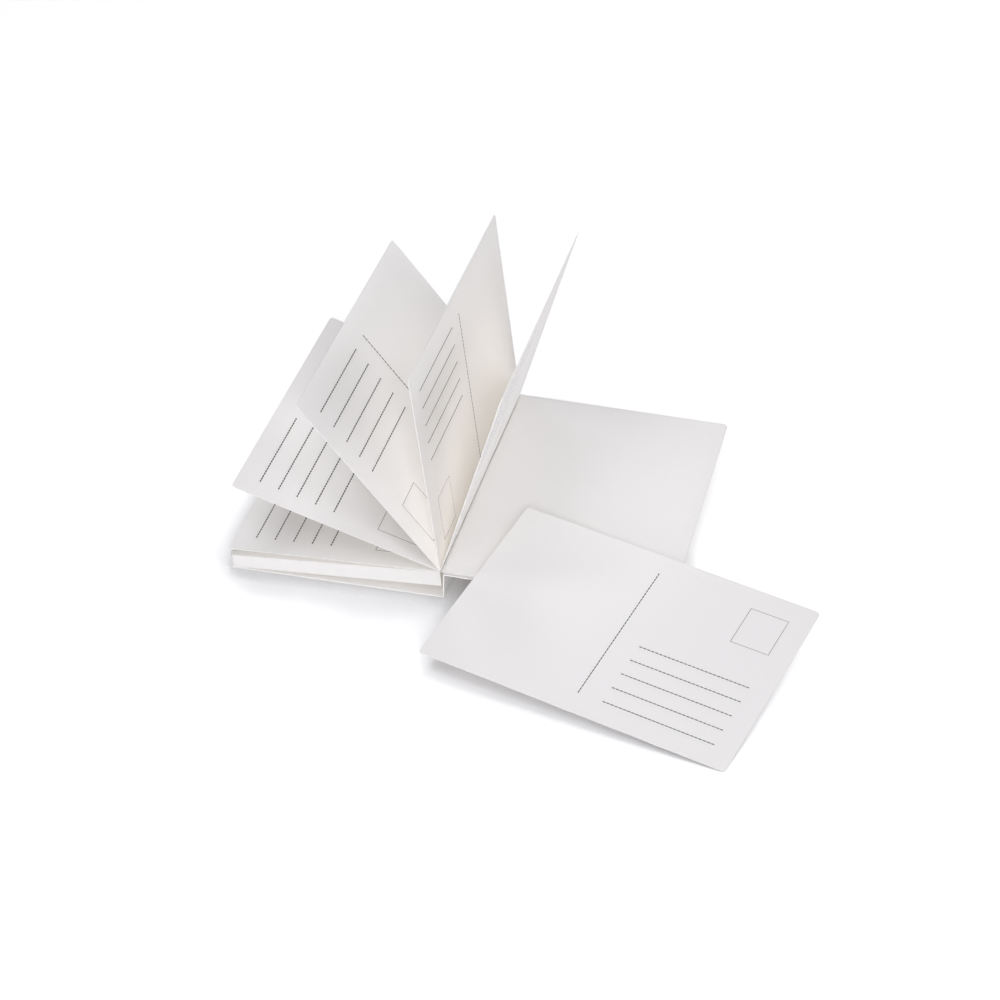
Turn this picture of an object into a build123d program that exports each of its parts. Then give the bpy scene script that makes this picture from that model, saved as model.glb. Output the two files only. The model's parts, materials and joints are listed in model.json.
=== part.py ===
from build123d import *
import math
import os

# Book of tear-off postcards lying open, with one torn-out card leaning on its near end.
# Millimetres and degrees. +Z is up, Y runs along the spine and -Y is the near end.
# The origin is the centre of the back cover's underside.

# Cards
card_width = 148.0
card_depth = 102.8
card_thickness = 0.34
card_corner = 2.0
block_cards = 19

# Cover board
board = 0.6
cover_overhang = 2.2
cover_corner = 1.5
crease_round = 0.4
crease_gap = 0.05
spine_lean = 2.0
cover_droop = 0.9

# Gummed binding
gum_layer = 0.25
gum_swell = 0.07
spine_gap = 0.1
sheet_air = 0.01
seat_gap = 0.02
block_lift = 6.14
cover_play = 2.7

# Fanned cards: angle by which each is opened from the one below it
leaf_angles = (2.0, 20.7, 34.1, 31.8, 23.2)

# Flyleaf on the open front cover: its root from the crease, its fore edge from the cover's
flyleaf_root_gap = 1.6
flyleaf_inset = 0.2
flyleaf_rise = 1.6

# Torn-out card: its centre from the flyleaf's near fore corner, its heading,
# and the turn of the line it rocks on from the flyleaf's near edge
loose_inset = 17.94
loose_outset = 19.22
loose_heading = -14.04
loose_rock = 4.74

# Sizes that follow from those above
cover_depth = card_depth + cover_overhang
flyleaf_depth = cover_depth - flyleaf_root_gap - flyleaf_inset
spine_foot = board / math.cos(math.radians(spine_lean))
leaf_pitch = card_thickness + gum_swell
block_pitch = card_thickness + sheet_air
block_root = block_cards * block_pitch + (block_cards - 1) * gum_swell
crease_height = board + block_root + len(leaf_angles) * leaf_pitch + cover_play
block_tilt = math.degrees(math.asin(block_lift / card_depth))

outer_foot_x = cover_depth / 2
inner_foot_x = outer_foot_x - spine_foot
crease_x = outer_foot_x - spine_foot / 2 + crease_height * math.tan(math.radians(spine_lean))
block_fore_x = inner_foot_x - spine_gap - gum_layer - card_depth
block_fore_z = board + seat_gap
near_y = -card_width / 2

# Rise of a sheet that lies level to the right of its root
rightwards = 180.0


def turned(x, z, degrees):
    """Point of the X, Z plane turned about the origin, rising from +X for positive angles."""
    cosine = math.cos(math.radians(degrees))
    sine = math.sin(math.radians(degrees))
    return cosine * x - sine * z, sine * x + cosine * z


def sheet_plane(x, z, rise):
    """Plane of a sheet that starts at x, z and runs to the left, rising by the given angle."""
    run_x, run_z = turned(-1.0, 0.0, -rise)
    side_x, side_z = turned(0.0, 1.0, -rise)
    return Plane(origin=(x, 0, z), x_dir=(run_x, 0, run_z), z_dir=(side_x, 0, side_z))


def round_fore_corners(body, radius):
    """Round the two corners of a sheet's fore edge."""
    return fillet(body.edges().filter_by(Axis.Z).group_by(Axis.X)[-1], radius)


def flat_sheet(depth, thickness, corner):
    """Sheet from its root edge at X = 0 to its fore edge, with Z = 0 halfway through it."""
    body = Box(depth, card_width, thickness, align=(Align.MIN, Align.CENTER, Align.CENTER))
    return round_fore_corners(body, corner)


def hinged_sheet(depth, thickness, corner):
    """Sheet whose root edge is rounded about its hinge line, the Y axis."""
    half = thickness / 2
    outline = Curve() + [
        Line((0, -half), (depth, -half)),
        Line((depth, -half), (depth, half)),
        Line((depth, half), (0, half)),
        ThreePointArc((0, half), (-half, 0), (0, -half)),
    ]
    body = extrude(Plane.XZ * make_face(outline), card_width / 2, both=True)
    return round_fore_corners(body, corner)


def upright_profile(points):
    """Solid with the given outline in the X, Z plane, as wide as the cards."""
    return extrude(Plane.XZ * make_face(Polyline(*points, close=True)), card_width / 2, both=True)


def make_back_cover():
    """Back panel of the cover, from its fore edge to the crease under the spine."""
    lean_shift = board * math.tan(math.radians(spine_lean))
    body = upright_profile([
        (-cover_depth / 2, 0),
        (inner_foot_x, 0),
        (inner_foot_x + lean_shift, board),
        (-cover_depth / 2, board),
    ])
    return fillet(body.edges().filter_by(Axis.Z).group_by(Axis.X)[0], cover_corner)


def make_spine_panel():
    """Spine panel, creased up from the back panel and leaning a little outwards."""
    height = crease_height - board / 2 - crease_gap
    lean_shift = height * math.tan(math.radians(spine_lean))
    body = upright_profile([
        (inner_foot_x, 0),
        (outer_foot_x, 0),
        (outer_foot_x + lean_shift, height),
        (inner_foot_x + lean_shift, height),
    ])
    foot = body.edges().filter_by(Axis.Y).group_by(Axis.Z)[0].sort_by(Axis.X)[-1]
    return fillet(foot, crease_round)


def block_point(x, z):
    """Place of a point given from the fore edge of the block's bottom card, as the block lies."""
    turned_x, turned_z = turned(x, z, block_tilt)
    return block_fore_x + turned_x, block_fore_z + turned_z


def block_card_rise(index):
    """Angle by which the swollen gum tilts one card against the bottom card of the block."""
    return math.degrees(math.asin(index * gum_swell / card_depth))


def make_block_card(index):
    """One card of the closed block, built from its glued edge to its fore edge."""
    tilt = block_tilt + block_card_rise(index)
    fore_x, fore_z = block_point(0.0, index * block_pitch + card_thickness / 2)
    run_x, run_z = turned(card_depth, 0.0, tilt)
    root = sheet_plane(fore_x + run_x, fore_z + run_z, -tilt)
    return root * flat_sheet(card_depth, card_thickness, card_corner)


def make_binding_gum():
    """Dried gum over the glued edge of the block."""
    return upright_profile([
        block_point(card_depth, 0.0),
        block_point(card_depth + gum_layer, 0.0),
        block_point(card_depth + gum_layer, block_root),
        block_point(card_depth, block_root),
    ])


def leaf_hinges():
    """Hinge point and rise of each fanned card, from the lowest to the highest."""
    top = block_cards - 1
    rise = -block_tilt - block_card_rise(top)
    fore_x, fore_z = block_point(0.0, top * block_pitch + card_thickness / 2)
    run_x, run_z = turned(card_depth - card_thickness / 2, 0.0, -rise)
    hinge_x = fore_x + run_x
    hinge_z = fore_z + run_z
    hinges = []
    for angle in leaf_angles:
        side_x, side_z = turned(0.0, leaf_pitch, -rise)
        hinge_x += side_x
        hinge_z += side_z
        rise += angle
        hinges.append((hinge_x, hinge_z, rise))
    return hinges


def make_fanned_card(hinge_x, hinge_z, rise):
    """One fanned card, which turns on its glued edge."""
    body = hinged_sheet(card_depth - card_thickness / 2, card_thickness, card_corner)
    return sheet_plane(hinge_x, hinge_z, rise) * body


def cover_point(along, above):
    """Place of a point given along and above the middle of the open front cover."""
    turned_x, turned_z = turned(along, above, -cover_droop)
    return crease_x + turned_x, crease_height + turned_z


def make_front_cover():
    """Front panel of the cover, open to the right of the spine."""
    body = hinged_sheet(cover_depth, board, cover_corner)
    return sheet_plane(crease_x, crease_height, rightwards + cover_droop) * body


def flyleaf_line():
    """Fore edge and slope of the flyleaf's middle, which rests on the cover at its fore edge."""
    fore_above = board / 2 + seat_gap + card_thickness / 2
    fore_x, fore_z = cover_point(cover_depth - flyleaf_inset, fore_above)
    fall = math.degrees(math.asin((flyleaf_rise - fore_above) / flyleaf_depth))
    return fore_x, fore_z, cover_droop + fall


def make_flyleaf():
    """Blank front leaf, standing off the cover at the spine and lying on it at the fore edge."""
    fore_x, fore_z, slope = flyleaf_line()
    run_x, run_z = turned(flyleaf_depth, 0.0, -slope)
    root = sheet_plane(fore_x - run_x, fore_z - run_z, rightwards + slope)
    return root * flat_sheet(flyleaf_depth, card_thickness, card_corner)


def loose_card_pose():
    """Flyleaf's upper near fore corner, its slope, and the tip that brings the torn-out card to the table."""
    fore_x, fore_z, slope = flyleaf_line()
    top_x, top_z = turned(0.0, card_thickness / 2 + seat_gap, -slope)
    rest_x = fore_x + top_x
    rest_z = fore_z + top_z
    foot_x, foot_y = turned(card_width / 2, -card_depth / 2, loose_heading)
    along, across = turned(foot_x - loose_inset, foot_y - loose_outset, -loose_rock)
    lean = math.radians(slope)
    turn = math.radians(loose_rock)
    upright = -across * math.cos(lean)
    sideways = -across * math.sin(turn) * math.sin(lean)
    fall = rest_z - seat_gap - along * math.cos(turn) * math.sin(lean)
    tip = math.asin(fall / math.hypot(upright, sideways)) - math.atan2(sideways, upright)
    return rest_x, rest_z, slope, math.degrees(tip)


def make_loose_card():
    """Torn-out card: it rests on the flyleaf's fore corner and leans down to the table."""
    rest_x, rest_z, slope, tip = loose_card_pose()
    flat = Box(card_width, card_depth, card_thickness, align=(Align.CENTER, Align.CENTER, Align.MIN))
    flat = fillet(flat.edges().filter_by(Axis.Z), card_corner)
    rest = Location((rest_x, near_y, rest_z)) * Rot(Y=slope)
    rock = Rot(Z=loose_rock) * Rot(X=tip) * Rot(Z=-loose_rock)
    return rest * rock * Pos(-loose_inset, -loose_outset, 0) * Rot(Z=loose_heading) * flat


nodes = {
    "back_cover": make_back_cover(),
    "spine_panel": make_spine_panel(),
    "front_cover": make_front_cover(),
    "front_flyleaf": make_flyleaf(),
    "binding_gum": make_binding_gum(),
}
for index in range(block_cards):
    nodes[f"card_{index + 1:02d}"] = make_block_card(index)
for index, hinge in enumerate(leaf_hinges()):
    nodes[f"card_{block_cards + index + 1:02d}"] = make_fanned_card(*hinge)
nodes["loose_card"] = make_loose_card()

os.makedirs("parts", exist_ok=True)
for name, solid in nodes.items():
    solid.label = name
    export_step(solid, f"parts/{name}.step")
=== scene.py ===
import json
import math

import bpy
from mathutils import Matrix, Vector


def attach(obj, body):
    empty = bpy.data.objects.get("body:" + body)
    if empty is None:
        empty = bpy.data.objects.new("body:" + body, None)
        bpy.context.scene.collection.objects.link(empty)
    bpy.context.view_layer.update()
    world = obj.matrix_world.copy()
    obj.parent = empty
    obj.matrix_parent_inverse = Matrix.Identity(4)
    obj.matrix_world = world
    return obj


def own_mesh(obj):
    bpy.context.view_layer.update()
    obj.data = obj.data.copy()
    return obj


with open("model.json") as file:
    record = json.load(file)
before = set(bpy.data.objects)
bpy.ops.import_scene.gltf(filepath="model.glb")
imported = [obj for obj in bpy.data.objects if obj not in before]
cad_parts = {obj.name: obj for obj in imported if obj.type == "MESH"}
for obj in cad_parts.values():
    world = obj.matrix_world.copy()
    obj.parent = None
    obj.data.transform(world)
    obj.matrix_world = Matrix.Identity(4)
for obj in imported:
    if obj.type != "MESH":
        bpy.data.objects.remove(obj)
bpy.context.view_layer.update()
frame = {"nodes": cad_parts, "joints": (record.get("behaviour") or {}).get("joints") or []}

# Open postcard book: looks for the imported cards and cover. Metres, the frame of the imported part.

# Cards and cover board
MM = 0.001
CARD_WIDTH = 148.0 * MM
CARD_DEPTH = 102.8 * MM
CARD_THICKNESS = 0.34 * MM
BLOCK_CARDS = 19
FANNED_CARDS = (20, 21, 22, 23, 24)

# Torn-out card: its centre from the flyleaf's near fore corner, and its heading
LOOSE_INSET = 17.94 * MM
LOOSE_OUTSET = 19.22 * MM
LOOSE_HEADING = math.radians(-14.04)

# Address side, from the card's upper left corner
DIVIDER_U = 73.5 * MM
DIVIDER_TOP = 11.0 * MM
DIVIDER_FOOT = 91.7 * MM
LINE_START = 85.2 * MM
LINE_END = 137.9 * MM
LINE_TOP = 55.4 * MM
LINE_PITCH = 8.97 * MM
ADDRESS_LINES = 5
STAMP_LEFT = 119.4 * MM
STAMP_RIGHT = 137.5 * MM
STAMP_TOP = 11.8 * MM
STAMP_FOOT = 34.15 * MM
DASH = 1.2 * MM
DASH_HEIGHT = 0.5 * MM
DASH_PITCH = 2.0 * MM
THIN_LINE = 0.2 * MM
STAMP_LINE = 0.2 * MM
INK_ABOVE = 0.006 * MM
INK_BELOW = 0.004 * MM

# Print of a bound card: bolder, a little longer, and set over to the far end and to the spine by a
# pair of lengths for each card, from the block's top card to the highest fanned card
LOOSE_WEIGHT = 1.03
BOUND_WEIGHT = 1.24
BOUND_STRETCH = 1.0245
BOUND_PLACES = {
    19: (0.0 * MM, 1.3 * MM),
    20: (0.0 * MM, 1.3 * MM),
    21: (0.0 * MM, 1.3 * MM),
    22: (0.7 * MM, 2.6 * MM),
    23: (1.5 * MM, 3.4 * MM),
    24: (1.5 * MM, 3.4 * MM),
}

# Points this close to a sheet's outermost ones belong to its edge
FORE_EDGE_REACH = 0.01 * MM
ROOT_EDGE_REACH = 0.1 * MM

# Flyleaf's root, from the edge of its flat sheet to the gum
ROOT_STEPS = 5
ROOT_REACH = 2.7 * MM
ROOT_DIP = 0.12 * MM

# Photograph's view
CAMERA_PLACE = Vector((307.65, -878.7, 679.8)) * MM
CAMERA_YAW = math.radians(-15.75)
CAMERA_PITCH = math.radians(36.53)
CAMERA_ROLL = math.radians(1.94)
CAMERA_LENS = 84.755
CAMERA_SENSOR = 36.0


def deselect_all():
    """Leave nothing selected, so that an operator touches only what it is given."""
    bpy.ops.object.select_all(action="DESELECT")


def make_active(piece):
    """Select one piece alone."""
    deselect_all()
    piece.select_set(True)
    bpy.context.view_layer.objects.active = piece


def node(name):
    """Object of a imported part."""
    return frame["nodes"][name]


def joint(name):
    """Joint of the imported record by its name."""
    return next(entry for entry in frame["joints"] if entry["name"] == name)


# Materials

# Paper: cloudy colour and fibre grain
CLOUD_SCALE = 420.0
CLOUD_DETAIL = 6.0
CLOUD_START = 0.3
CLOUD_END = 0.7
FIBRE_SCALE = 2600.0
FIBRE_DETAIL = 4.0
PAPER_NOISE = 0.65
GRAIN_STRENGTH = 0.35
PAPER_SPECULAR = 0.25
CARD_DARK = (0.958, 0.944, 0.92)
CARD_LIGHT = (0.97, 0.958, 0.937)
CARD_ROUGHNESS = 0.85
CARD_GRAIN = 0.02 * MM
COVER_DARK = (0.958, 0.946, 0.924)
COVER_LIGHT = (0.97, 0.959, 0.94)
COVER_ROUGHNESS = 0.7
COVER_GRAIN = 0.015 * MM

# Ink
SPECKLE_SCALE = 9000.0
SPECKLE_DETAIL = 3.0
INK_DARK = (0.035, 0.034, 0.036)
INK_LIGHT = (0.1, 0.098, 0.1)
INK_ROUGHNESS = 0.7
INK_SPECULAR = 0.2

# Gum
STREAK_SCALE = 700.0
STREAK_DETAIL = 4.0
GUM_DARK = (0.74, 0.71, 0.63)
GUM_LIGHT = (0.82, 0.8, 0.74)
GUM_ROUGHNESS = 0.4


def new_material(name):
    """Material with its node tree and its shader."""
    material = bpy.data.materials.new(name)
    material.use_nodes = True
    tree = material.node_tree
    shader = tree.nodes["Principled BSDF"]
    return material, tree, shader


def add_noise(tree, scale, detail, roughness=0.5):
    """Noise on the piece's own coordinates."""
    place = tree.nodes.new("ShaderNodeTexCoord")
    noise = tree.nodes.new("ShaderNodeTexNoise")
    noise.inputs["Scale"].default_value = scale
    noise.inputs["Detail"].default_value = detail
    noise.inputs["Roughness"].default_value = roughness
    tree.links.new(place.outputs["Object"], noise.inputs["Vector"])
    return noise


def add_ramp(tree, source, low, high, start=0.35, end=0.65):
    """Colour ramp between two colours, driven by a noise."""
    ramp = tree.nodes.new("ShaderNodeValToRGB")
    ramp.color_ramp.elements[0].position = start
    ramp.color_ramp.elements[0].color = (*low, 1.0)
    ramp.color_ramp.elements[1].position = end
    ramp.color_ramp.elements[1].color = (*high, 1.0)
    tree.links.new(source.outputs["Fac"], ramp.inputs["Fac"])
    return ramp


def make_paper(name, low, high, roughness, grain_height):
    """Uncoated paper: faint cloudy colour, fine fibre grain and a dull surface."""
    material, tree, shader = new_material(name)
    cloud = add_noise(tree, CLOUD_SCALE, CLOUD_DETAIL, PAPER_NOISE)
    colour = add_ramp(tree, cloud, low, high, CLOUD_START, CLOUD_END)
    tree.links.new(colour.outputs["Color"], shader.inputs["Base Color"])
    fibre = add_noise(tree, FIBRE_SCALE, FIBRE_DETAIL, PAPER_NOISE)
    bump = tree.nodes.new("ShaderNodeBump")
    bump.inputs["Strength"].default_value = GRAIN_STRENGTH
    bump.inputs["Distance"].default_value = grain_height
    tree.links.new(fibre.outputs["Fac"], bump.inputs["Height"])
    tree.links.new(bump.outputs["Normal"], shader.inputs["Normal"])
    shader.inputs["Roughness"].default_value = roughness
    shader.inputs["Specular IOR Level"].default_value = PAPER_SPECULAR
    return material


def make_ink():
    """Printing ink, a dark grey that has sunk into the paper."""
    material, tree, shader = new_material("address_ink")
    speckle = add_noise(tree, SPECKLE_SCALE, SPECKLE_DETAIL)
    colour = add_ramp(tree, speckle, INK_DARK, INK_LIGHT)
    tree.links.new(colour.outputs["Color"], shader.inputs["Base Color"])
    shader.inputs["Roughness"].default_value = INK_ROUGHNESS
    shader.inputs["Specular IOR Level"].default_value = INK_SPECULAR
    return material


def make_gum():
    """Dried padding gum: milky, smoother than paper, streaked by the brush."""
    material, tree, shader = new_material("gum_film")
    streak = add_noise(tree, STREAK_SCALE, STREAK_DETAIL)
    colour = add_ramp(tree, streak, GUM_DARK, GUM_LIGHT)
    tree.links.new(colour.outputs["Color"], shader.inputs["Base Color"])
    shader.inputs["Roughness"].default_value = GUM_ROUGHNESS
    return material


CARD_PAPER = make_paper("card_paper", CARD_DARK, CARD_LIGHT, CARD_ROUGHNESS, CARD_GRAIN)
COVER_PAPER = make_paper("cover_paper", COVER_DARK, COVER_LIGHT, COVER_ROUGHNESS, COVER_GRAIN)
INK = make_ink()
GUM = make_gum()


def dress(name, material):
    """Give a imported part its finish."""
    slots = node(name).material_slots
    for slot in slots:
        slot.material = material


for part in ("back_cover", "spine_panel", "front_cover"):
    dress(part, COVER_PAPER)
for index in range(1, BLOCK_CARDS + 1):
    dress(f"card_{index:02d}", CARD_PAPER)
for index in FANNED_CARDS:
    dress(f"card_{index:02d}", CARD_PAPER)
dress("front_flyleaf", CARD_PAPER)
dress("loose_card", CARD_PAPER)
dress("binding_gum", GUM)


# Address side


def add_mark(width, height, centre):
    """Flat rectangle of ink on the card's printed face."""
    deselect_all()
    bpy.ops.mesh.primitive_plane_add(size=1.0, location=(centre[0], -centre[1], 0.0))
    mark = bpy.context.object
    mark.scale = (width, height, 1.0)
    bpy.ops.object.transform_apply(location=True, rotation=True, scale=True)
    return mark


def repeat(piece, count, step):
    """Repeat a mark along a line."""
    make_active(piece)
    array = piece.modifiers.new("repeat", "ARRAY")
    array.count = count
    array.use_relative_offset = False
    array.use_constant_offset = True
    array.constant_offset_displace = (step[0], -step[1], 0.0)
    bpy.ops.object.modifier_apply(modifier=array.name)


def add_broken_line(start, length, step, weight):
    """Line of even dashes with a thin stroke between them, from start along step."""
    gaps = round((length - DASH) / DASH_PITCH)
    pitch = (length - DASH) / gaps
    gap = pitch - DASH
    upright = step[0] == 0.0
    marks = []
    for size, height, along, number in (
        (DASH, DASH_HEIGHT, DASH / 2, gaps + 1),
        (gap, THIN_LINE, DASH + gap / 2, gaps),
    ):
        centre = (start[0], start[1] + along) if upright else (start[0] + along, start[1])
        thick = height * weight
        width, tall = (thick, size) if upright else (size, thick)
        mark = add_mark(width, tall, centre)
        repeat(mark, number, (step[0] * pitch, step[1] * pitch))
        marks.append(mark)
    return marks


def add_stamp_box():
    """Four thin strokes that mark the place of the stamp."""
    wide = STAMP_RIGHT - STAMP_LEFT
    tall = STAMP_FOOT - STAMP_TOP
    middle_u = (STAMP_LEFT + STAMP_RIGHT) / 2
    middle_v = (STAMP_TOP + STAMP_FOOT) / 2
    strokes = [
        (wide + STAMP_LINE, STAMP_LINE, (middle_u, STAMP_TOP)),
        (wide + STAMP_LINE, STAMP_LINE, (middle_u, STAMP_FOOT)),
        (STAMP_LINE, tall - STAMP_LINE, (STAMP_LEFT, middle_v)),
        (STAMP_LINE, tall - STAMP_LINE, (STAMP_RIGHT, middle_v)),
    ]
    return [add_mark(*stroke) for stroke in strokes]


def make_address_print(weight):
    """Printed address side in card coordinates: X to the right, Y up from the top edge."""
    marks = add_broken_line((DIVIDER_U, DIVIDER_TOP), DIVIDER_FOOT - DIVIDER_TOP, (0.0, 1.0), weight)
    for line in add_broken_line((LINE_START, LINE_TOP), LINE_END - LINE_START, (1.0, 0.0), weight):
        repeat(line, ADDRESS_LINES, (0.0, LINE_PITCH))
        marks.append(line)
    marks.extend(add_stamp_box())
    deselect_all()
    for mark in marks:
        mark.select_set(True)
    bpy.context.view_layer.objects.active = marks[0]
    bpy.ops.object.join()
    print_piece = bpy.context.object
    thick = print_piece.modifiers.new("ink", "SOLIDIFY")
    thick.thickness = INK_ABOVE + INK_BELOW
    thick.offset = 1.0
    bpy.ops.object.modifier_apply(modifier=thick.name)
    print_piece.data.transform(Matrix.Translation((0.0, 0.0, -INK_BELOW)))
    print_piece.data.materials.clear()
    print_piece.data.materials.append(INK)
    return print_piece


def fore_edge_middle(name, hinge):
    """Middle of a fanned card's fore edge: the mean of the points furthest from its hinge."""
    def reach(point):
        return math.hypot(point.x - hinge.x, point.z - hinge.z)

    points = [vertex.co for vertex in node(name).data.vertices]
    furthest = max(reach(point) for point in points)
    tips = [point for point in points if reach(point) > furthest - FORE_EDGE_REACH]
    middle = sum(tips, Vector()) / len(tips)
    return Vector((middle.x, 0.0, middle.z))


def face_matrix(corner, along, upward):
    """Matrix from card coordinates, with the corner at the printed face's upper left."""
    outward = along.cross(upward)
    matrix = Matrix((along, upward, outward)).transposed().to_4x4()
    matrix.translation = corner
    return matrix


def bound_card_face(index):
    """Printed face of a fanned card: its top edge at the spine, its right end near the viewer."""
    name = f"card_{index:02d}"
    hinge = Vector(joint(f"{name}_turn")["pos_m"])
    run = (fore_edge_middle(name, hinge) - hinge).normalized()
    outward = Vector((run.z, 0.0, -run.x))
    corner = hinge - run * CARD_THICKNESS / 2 + outward * CARD_THICKNESS / 2
    corner.y = CARD_WIDTH / 2
    return face_matrix(corner, Vector((0.0, -1.0, 0.0)), -run)


def block_top_face():
    """Printed face of the block's top card."""
    points = [vertex.co for vertex in node(f"card_{BLOCK_CARDS:02d}").data.vertices]
    root = max(points, key=lambda point: point.z)
    fore = max(points, key=lambda point: point.z - point.x)
    run = Vector((fore.x - root.x, 0.0, fore.z - root.z)).normalized()
    return face_matrix(Vector((root.x, CARD_WIDTH / 2, root.z)), Vector((0.0, -1.0, 0.0)), -run)


def loose_card_face():
    """Printed face of the torn-out card, laid on the flyleaf and rocked down over its fore corner."""
    rest = joint("loose_card_tip")
    rock_line = -Vector(rest["axis"]).normalized()
    rock = Matrix.Rotation(math.radians(rest["range_deg"][1]), 3, rock_line)
    edge = Vector((rock_line.x, 0.0, rock_line.z)).normalized()
    inward = Vector((0.0, 1.0, 0.0))
    up = edge.cross(inward)
    turn = Matrix.Rotation(LOOSE_HEADING, 3, up)
    along = turn @ edge
    upward = turn @ inward
    centre = up * CARD_THICKNESS - edge * LOOSE_INSET - inward * LOOSE_OUTSET
    corner = centre - along * CARD_WIDTH / 2 + upward * CARD_DEPTH / 2
    return face_matrix(Vector(rest["pos_m"]) + rock @ corner, rock @ along, rock @ upward)


def on_bound_card(face, index):
    """Place of the print on a bound card's face."""
    shift, lift = BOUND_PLACES[index]
    set_over = Matrix.Translation((-shift, lift, 0.0))
    return face @ set_over @ Matrix.Diagonal((1.0, BOUND_STRETCH, 1.0, 1.0))


def place_print(pattern, name, face, body):
    """Copy the printed pattern onto one card's face."""
    piece = pattern.copy()
    piece.data = pattern.data.copy()
    piece.name = name
    bpy.context.scene.collection.objects.link(piece)
    piece.data.transform(face)
    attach(piece, body)


bound_pattern = make_address_print(BOUND_WEIGHT)
block_print_face = on_bound_card(block_top_face(), BLOCK_CARDS)
place_print(bound_pattern, f"address_print_{BLOCK_CARDS:02d}", block_print_face, "card_block")
for index in FANNED_CARDS:
    face = on_bound_card(bound_card_face(index), index)
    place_print(bound_pattern, f"address_print_{index:02d}", face, f"card_{index:02d}")
bpy.data.objects.remove(bound_pattern)
loose_pattern = make_address_print(LOOSE_WEIGHT)
place_print(loose_pattern, "address_print_loose", loose_card_face(), "loose_card")
bpy.data.objects.remove(loose_pattern)


# Flyleaf's root


def flyleaf_line():
    """Middle of the flyleaf sheet's root edge, and the way on from it towards the gum."""
    points = [vertex.co for vertex in node("front_flyleaf").data.vertices]
    left = min(point.x for point in points)
    right = max(point.x for point in points)
    root = [point for point in points if point.x < left + ROOT_EDGE_REACH]
    fore = [point for point in points if point.x > right - ROOT_EDGE_REACH]
    root_middle = sum(root, Vector()) / len(root)
    fore_middle = sum(fore, Vector()) / len(fore)
    onward = Vector((root_middle.x - fore_middle.x, 0.0, root_middle.z - fore_middle.z)).normalized()
    return Vector((root_middle.x, 0.0, root_middle.z)), onward


def make_flyleaf_root(start, onward):
    """Strip that carries the flyleaf on to the gum, from the sheet's root edge."""
    step = ROOT_REACH / ROOT_STEPS
    deselect_all()
    bpy.ops.mesh.primitive_plane_add(size=1.0)
    strip = bpy.context.object
    strip.name = "flyleaf_root"
    strip.scale = (step, CARD_WIDTH, 1.0)
    strip.location = (step / 2, 0.0, 0.0)
    bpy.ops.object.transform_apply(location=True, rotation=True, scale=True)
    bpy.ops.object.mode_set(mode="EDIT")
    bpy.ops.mesh.select_mode(type="EDGE")
    for index in range(1, ROOT_STEPS):
        bpy.ops.mesh.select_all(action="DESELECT")
        bpy.ops.object.mode_set(mode="OBJECT")
        past = (index - 0.5) * step
        for edge in strip.data.edges:
            edge.select = all(strip.data.vertices[end].co.x > past for end in edge.vertices)
        bpy.ops.object.mode_set(mode="EDIT")
        dip = -ROOT_DIP * (index / (ROOT_STEPS - 1)) ** 2
        bpy.ops.mesh.extrude_region_move(TRANSFORM_OT_translate={"value": (step, 0.0, dip)})
    bpy.ops.object.mode_set(mode="OBJECT")
    thick = strip.modifiers.new("paper", "SOLIDIFY")
    thick.thickness = CARD_THICKNESS
    thick.offset = 0.0
    bpy.ops.object.modifier_apply(modifier=thick.name)
    sideways = Vector((0.0, -1.0, 0.0))
    place = Matrix((onward, sideways, onward.cross(sideways))).transposed().to_4x4()
    place.translation = start
    strip.data.transform(place)
    strip.data.materials.append(CARD_PAPER)
    return strip


def hang_flyleaf_root():
    """Put the strip on the flyleaf's root edge, and hang it on the front cover's body."""
    root_edge, onward = flyleaf_line()
    strip = make_flyleaf_root(root_edge, onward)
    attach(strip, "front_cover")
    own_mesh(strip)


hang_flyleaf_root()


# Table, light and view

FLOOR_SIZE = 8.0
FLOOR_DROP = 0.05 * MM
FLOOR_ROUGHNESS = 0.9
FLOOR_TONE = 0.9
OPENNESS_SAMPLES = 8
# Painted contact shade: the table's colour darkens to this value where a wall of the book stands close
# behind a point
CONTACT_SHADE_TONE = 0.66
CONTACT_SHADE_REACH = 9.0 * MM
CONTACT_SHADE_FULL = 0.5
CONTACT_SHADE_NONE = 0.97
WALL_BEHIND = Vector((0.0, 1.0, 0.0))
# Painted shade: the camera's glow on the table is withheld where the way back and to the right is shut,
# as if a lamp stood behind the book
FLOOR_GLOW = 0.46
SHADE_REACH = 60.0 * MM
SHADE_FULL = 0.45
SHADE_NONE = 0.76
SHADE_LEAN_BACK = Vector((0.5, 1.0, 1.0)).normalized()
AIM = Vector((60.0, -20.0, 30.0)) * MM
LAMP_DISTANCE = 2.0
LAMP_TINT = (0.969, 0.963, 1.0)
LIGHT_BOUNCES = 16
WORLD_LIGHT = 0.0


def add_openness(tree, towards, reach):
    """Share of the directions round one way in which nothing stands within reach."""
    openness = tree.nodes.new("ShaderNodeAmbientOcclusion")
    openness.samples = OPENNESS_SAMPLES
    openness.inputs["Distance"].default_value = reach
    way = tree.nodes.new("ShaderNodeCombineXYZ")
    for axis, share in zip("XYZ", towards):
        way.inputs[axis].default_value = share
    tree.links.new(way.outputs["Vector"], openness.inputs["Normal"])
    return openness


def add_level(tree, openness, shut, open_wide, low, high):
    """Value that rises from low to high as the openness rises from shut to wide."""
    level = tree.nodes.new("ShaderNodeMapRange")
    level.inputs["From Min"].default_value = shut
    level.inputs["From Max"].default_value = open_wide
    level.inputs["To Min"].default_value = low
    level.inputs["To Max"].default_value = high
    tree.links.new(openness.outputs["AO"], level.inputs["Value"])
    return level


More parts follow.
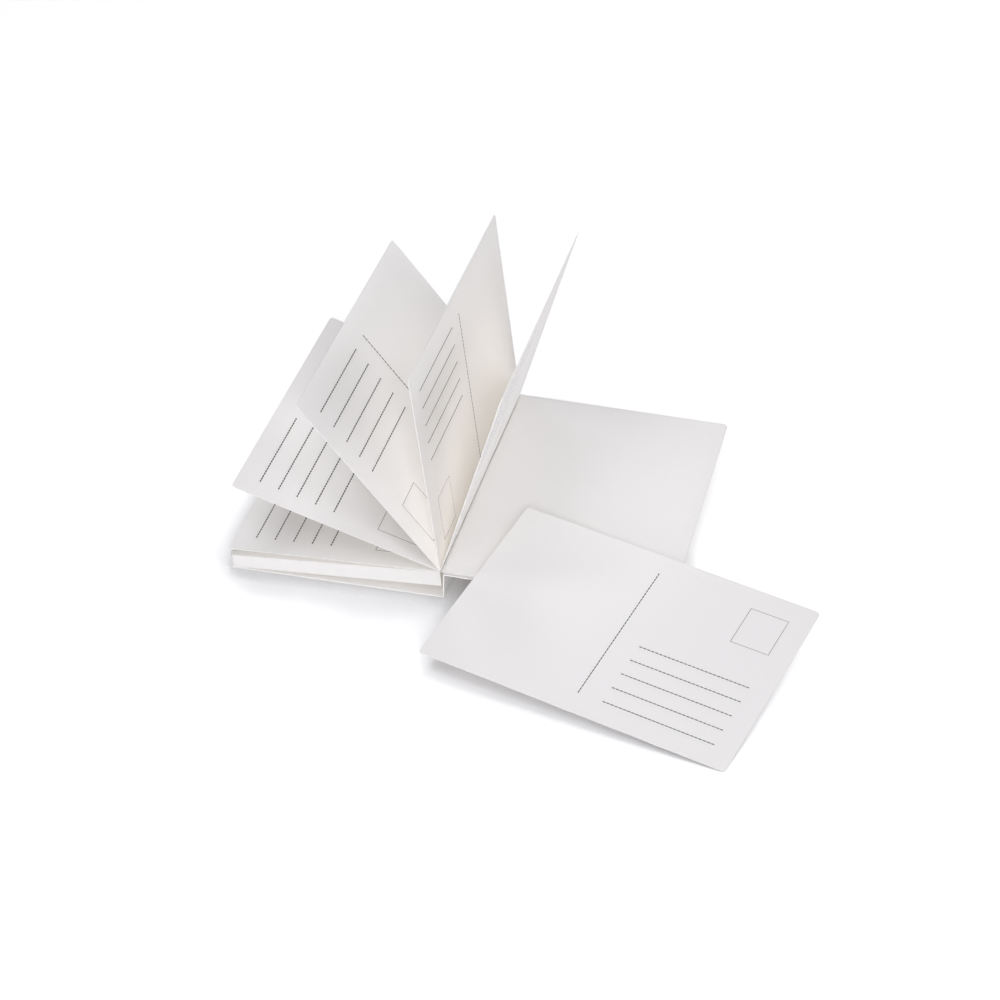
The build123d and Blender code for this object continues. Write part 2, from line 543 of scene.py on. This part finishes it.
def make_floor_material():
    """White table: its colour darkens next to the book as painted contact shade, its glow for the camera
    is withheld on the book's near side as painted shade, and the camera sees the rest as white.
    """
    material, tree, shader = new_material("table_white")
    nodes = tree.nodes
    # Painted contact shade: the table's base colour darkens where the book stands close behind
    contact_shade_openness = add_openness(tree, WALL_BEHIND, CONTACT_SHADE_REACH)
    painted_shade_tone = add_level(tree, contact_shade_openness, CONTACT_SHADE_FULL, CONTACT_SHADE_NONE, CONTACT_SHADE_TONE, FLOOR_TONE)
    tree.links.new(painted_shade_tone.outputs["Result"], shader.inputs["Base Color"])
    shader.inputs["Roughness"].default_value = FLOOR_ROUGHNESS
    shader.inputs["Specular IOR Level"].default_value = 0.0
    # Painted shade: the glow fades out where the way back and to the right is shut within reach
    shade_mask_openness = add_openness(tree, SHADE_LEAN_BACK, SHADE_REACH)
    level = add_level(tree, shade_mask_openness, SHADE_FULL, SHADE_NONE, 0.0, FLOOR_GLOW)
    glow = nodes.new("ShaderNodeEmission")
    tree.links.new(level.outputs["Result"], glow.inputs["Strength"])
    rays = nodes.new("ShaderNodeLightPath")
    seen = nodes.new("ShaderNodeMath")
    seen.operation = "MAXIMUM"
    tree.links.new(rays.outputs["Is Camera Ray"], seen.inputs[0])
    tree.links.new(rays.outputs["Is Glossy Ray"], seen.inputs[1])
    seen_through = nodes.new("ShaderNodeMath")
    seen_through.operation = "MAXIMUM"
    tree.links.new(seen.outputs[0], seen_through.inputs[0])
    tree.links.new(rays.outputs["Is Transmission Ray"], seen_through.inputs[1])
    both = nodes.new("ShaderNodeAddShader")
    tree.links.new(shader.outputs["BSDF"], both.inputs[0])
    tree.links.new(glow.outputs["Emission"], both.inputs[1])
    choice = nodes.new("ShaderNodeMixShader")
    tree.links.new(seen_through.outputs[0], choice.inputs["Fac"])
    tree.links.new(shader.outputs["BSDF"], choice.inputs[1])
    tree.links.new(both.outputs["Shader"], choice.inputs[2])
    tree.links.new(choice.outputs["Shader"], nodes["Material Output"].inputs["Surface"])
    return material


def add_floor():
    """Table top under the book."""
    deselect_all()
    bpy.ops.mesh.primitive_plane_add(size=FLOOR_SIZE, location=(0.0, 0.0, -FLOOR_DROP))
    floor = bpy.context.object
    floor.name = "table"
    floor.data.materials.append(make_floor_material())


def add_softbox(name, azimuth, elevation, size, power):
    """Softbox seen from the book at an azimuth from the near side towards +X, and at an elevation."""
    turn = math.radians(azimuth)
    rise = math.radians(elevation)
    outward = Vector((math.sin(turn) * math.cos(rise), -math.cos(turn) * math.cos(rise), math.sin(rise)))
    data = bpy.data.lights.new(name, "AREA")
    data.size = size
    data.energy = power
    data.color = LAMP_TINT
    lamp = bpy.data.objects.new(name, data)
    lamp.location = AIM + LAMP_DISTANCE * outward
    lamp.rotation_euler = outward.to_track_quat("Z", "Y").to_euler()
    bpy.context.scene.collection.objects.link(lamp)


# Azimuth, elevation, size and power of each softbox
LARGE_BOX = 1.2
SMALL_BOX = 0.5
SOFTBOXES = {
    "top_panel": (0.0, 89.0, LARGE_BOX, 2.4),
    "front_high": (0.0, 60.0, LARGE_BOX, 9.1),
    "right_low": (90.0, 12.0, LARGE_BOX, 6.6),
    "back_low": (180.0, 14.0, LARGE_BOX, 5.1),
    "front_low": (0.0, 10.0, SMALL_BOX, 4.4),
    "front_left_low": (340.0, 10.0, SMALL_BOX, 3.5),
    "front_right_key": (20.0, 28.0, SMALL_BOX, 12.7),
    "right_fill": (60.0, 28.0, SMALL_BOX, 3.8),
    "back_right_low": (157.0, 10.0, SMALL_BOX, 12.1),
    "back_high": (200.0, 66.0, SMALL_BOX, 4.2),
    "left_high": (285.0, 66.0, SMALL_BOX, 4.9),
}


def add_lights():
    """Soft studio light from all round, which the white paper passes on many times."""
    for name, setting in SOFTBOXES.items():
        add_softbox(name, *setting)
    world = bpy.data.worlds.new("studio")
    world.use_nodes = True
    background = world.node_tree.nodes["Background"]
    background.inputs["Strength"].default_value = WORLD_LIGHT
    bpy.context.scene.world = world
    bpy.context.scene.cycles.max_bounces = LIGHT_BOUNCES
    bpy.context.scene.cycles.diffuse_bounces = LIGHT_BOUNCES


def add_camera():
    """Camera at the photograph's place, turn and field of view."""
    level = math.cos(CAMERA_PITCH)
    forward = Vector((
        math.sin(CAMERA_YAW) * level,
        math.cos(CAMERA_YAW) * level,
        -math.sin(CAMERA_PITCH),
    ))
    level_right = Vector((math.cos(CAMERA_YAW), -math.sin(CAMERA_YAW), 0.0))
    level_up = level_right.cross(forward)
    right = math.cos(CAMERA_ROLL) * level_right - math.sin(CAMERA_ROLL) * level_up
    up = math.sin(CAMERA_ROLL) * level_right + math.cos(CAMERA_ROLL) * level_up
    data = bpy.data.cameras.new("camera")
    data.lens = CAMERA_LENS
    data.sensor_width = CAMERA_SENSOR
    camera = bpy.data.objects.new("camera", data)
    matrix = Matrix((right, up, -forward)).transposed().to_4x4()
    matrix.translation = CAMERA_PLACE
    camera.matrix_world = matrix
    bpy.context.scene.collection.objects.link(camera)
    bpy.context.scene.camera = camera


add_floor()
add_lights()
add_camera()
bpy.context.scene.view_settings.view_transform = "Standard"
